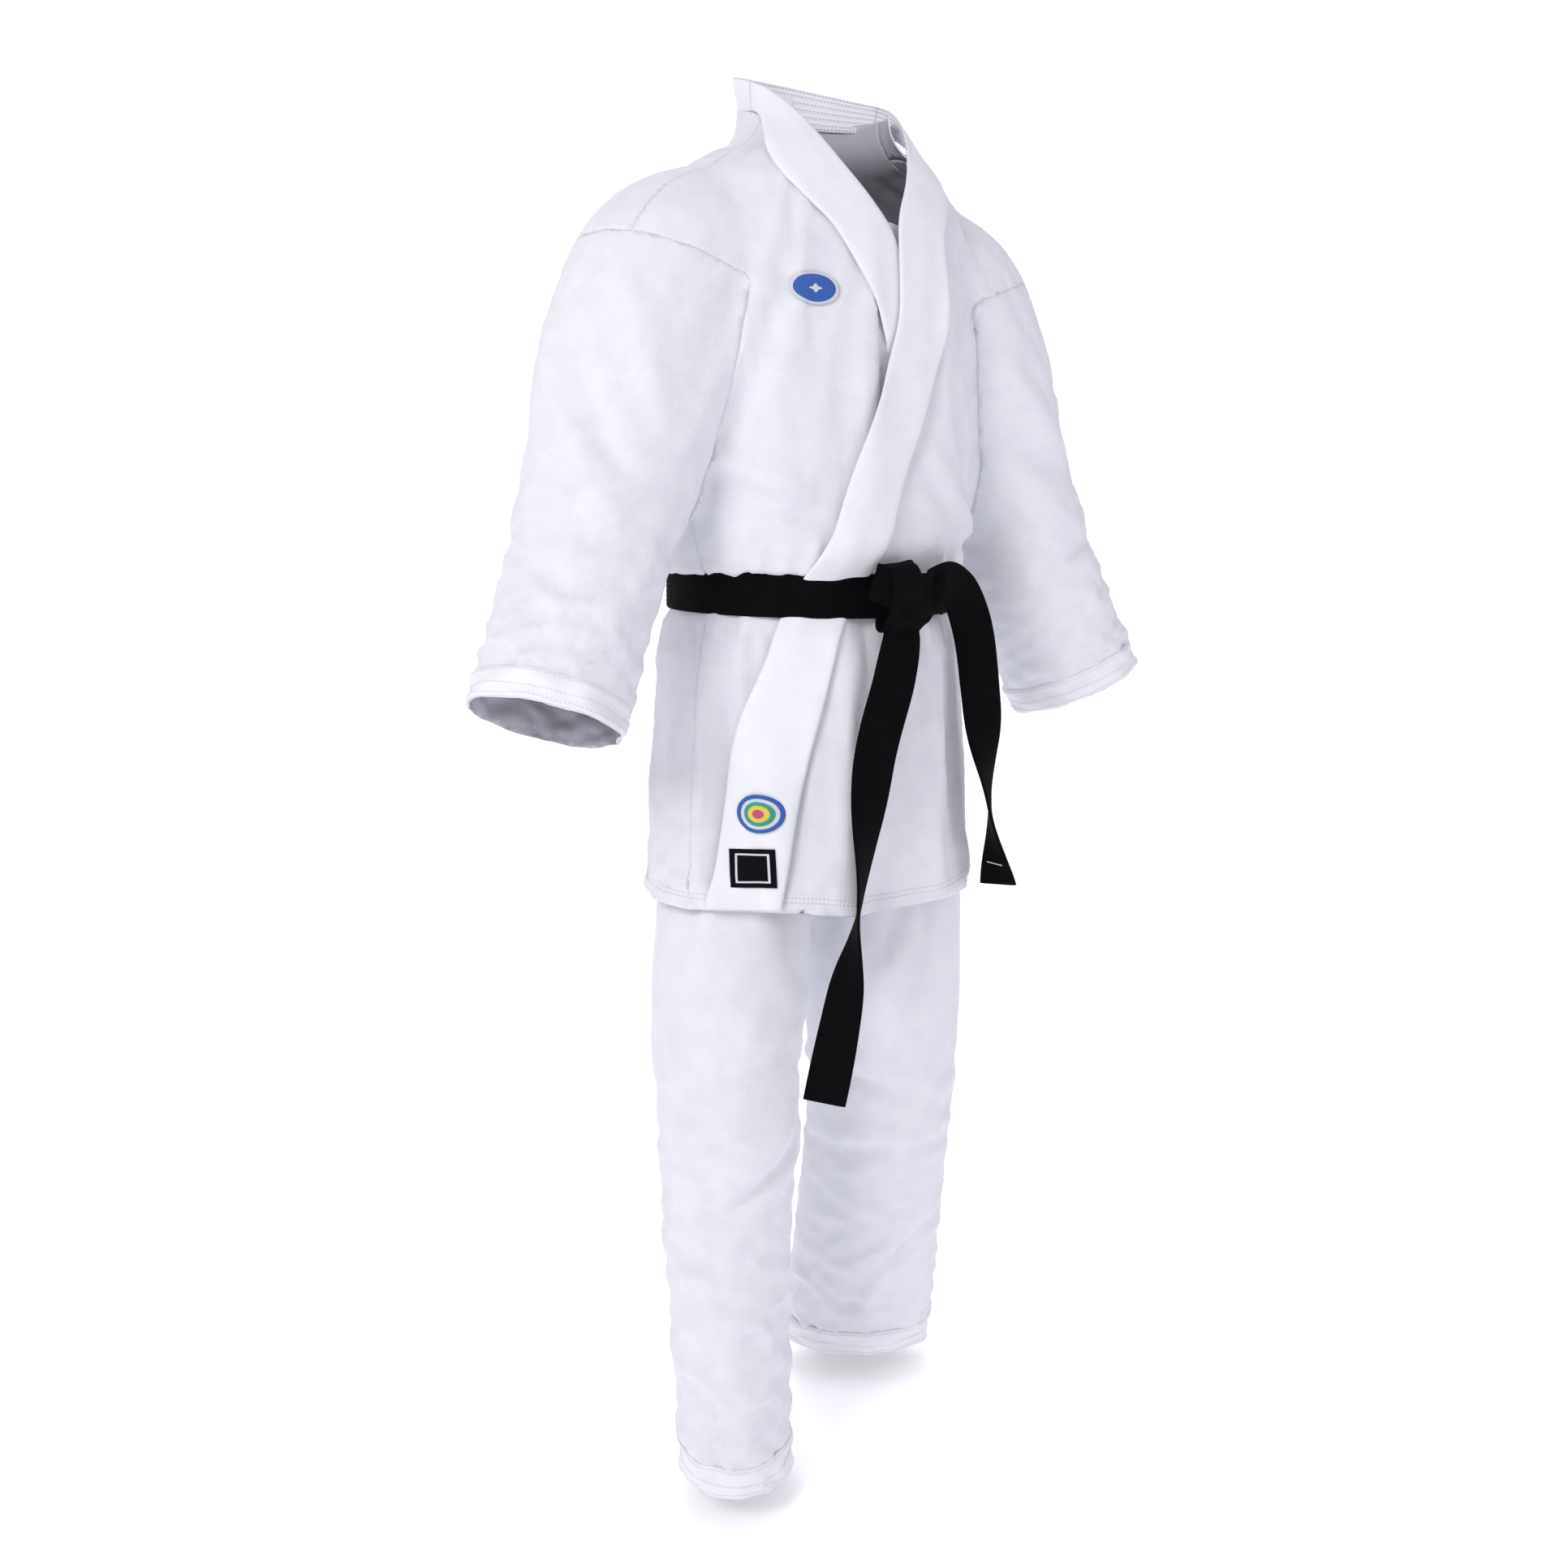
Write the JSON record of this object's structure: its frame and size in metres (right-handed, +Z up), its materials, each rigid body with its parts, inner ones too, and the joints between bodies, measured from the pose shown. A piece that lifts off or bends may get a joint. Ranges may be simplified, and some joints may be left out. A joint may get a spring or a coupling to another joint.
{
  "type": "martial arts uniform",
  "caption": "White crossover jacket with wide lapels and a knotted black belt over loose trousers, shaped as worn by a standing person, with no body inside.",
  "frame": {"origin": "middle of the neck, level with the front of the collar, where the jacket is carried on the shoulders", "axes": "+Z up along the body, -Y to the wearer's front, +X to the wearer's left"},
  "size_m": [0.866, 0.3589, 1.5143],
  "materials": {
    "cotton": "matt woven white cotton canvas",
    "belt": "black cotton, stitched in rows",
    "emblem": "embroidered patch",
    "mark": "embroidered mark"
  },
  "bodies": {
    "root": {"collar_neck": "cotton", "lapel_right": "cotton", "lapel_left": "cotton", "front_panel_right": "cotton", "front_panel_left": "cotton", "back_panel_right": "cotton", "back_panel_left": "cotton", "belt_wrap": "belt", "belt_knot": "belt", "chest_mark": "mark", "emblem_patch": "emblem", "label_patch": "belt", "waistband": "cotton", "seat_right": "cotton", "seat_left": "cotton"},
    "arm_right": {"sleeve_right": "cotton", "cuff_hem_right": "cotton"},
    "arm_left": {"sleeve_left": "cotton", "cuff_hem_left": "cotton"},
    "leg_right": {"thigh_right": "cotton"},
    "leg_left": {"thigh_left": "cotton"},
    "shin_right": {"shin_right": "cotton", "trouser_hem_right": "cotton"},
    "shin_left": {"shin_left": "cotton", "trouser_hem_left": "cotton"},
    "tail_right": {"belt_end_right": "belt"},
    "tail_left": {"belt_end_left": "belt"}
  },
  "joints": [
    {"name": "shoulder_right", "type": "hinge", "parent": "root", "child": "arm_right", "pos_m": [-0.175, 0, -0.058], "axis": [0, 1, 0], "range_deg": [0, 55]},
    {"name": "hip_right", "type": "hinge", "parent": "root", "child": "leg_right", "pos_m": [-0.09, 0, -0.62], "axis": [1, 0, 0], "range_deg": [-3, 5]},
    {"name": "knee_right", "type": "hinge", "parent": "leg_right", "child": "shin_right", "pos_m": [-0.14, -0.008, -1.07], "axis": [-1, 0, 0], "range_deg": [0, 55]},
    {"name": "shoulder_left", "type": "hinge", "parent": "root", "child": "arm_left", "pos_m": [0.175, 0, -0.058], "axis": [0, -1, 0], "range_deg": [0, 55]},
    {"name": "hip_left", "type": "hinge", "parent": "root", "child": "leg_left", "pos_m": [0.09, 0, -0.62], "axis": [1, 0, 0], "range_deg": [-3, 5]},
    {"name": "knee_left", "type": "hinge", "parent": "leg_left", "child": "shin_left", "pos_m": [0.14, 0.02, -1.07], "axis": [-1, 0, 0], "range_deg": [0, 55]},
    {"name": "belt_end_right_swing", "type": "hinge", "parent": "root", "child": "tail_right", "pos_m": [0.002, -0.162, -0.5262], "axis": [-1, 0, 0], "range_deg": [0, 35]},
    {"name": "belt_end_left_swing", "type": "hinge", "parent": "root", "child": "tail_left", "pos_m": [0.055, -0.15, -0.478], "axis": [-1, 0, 0], "range_deg": [0, 40]}
  ]
}
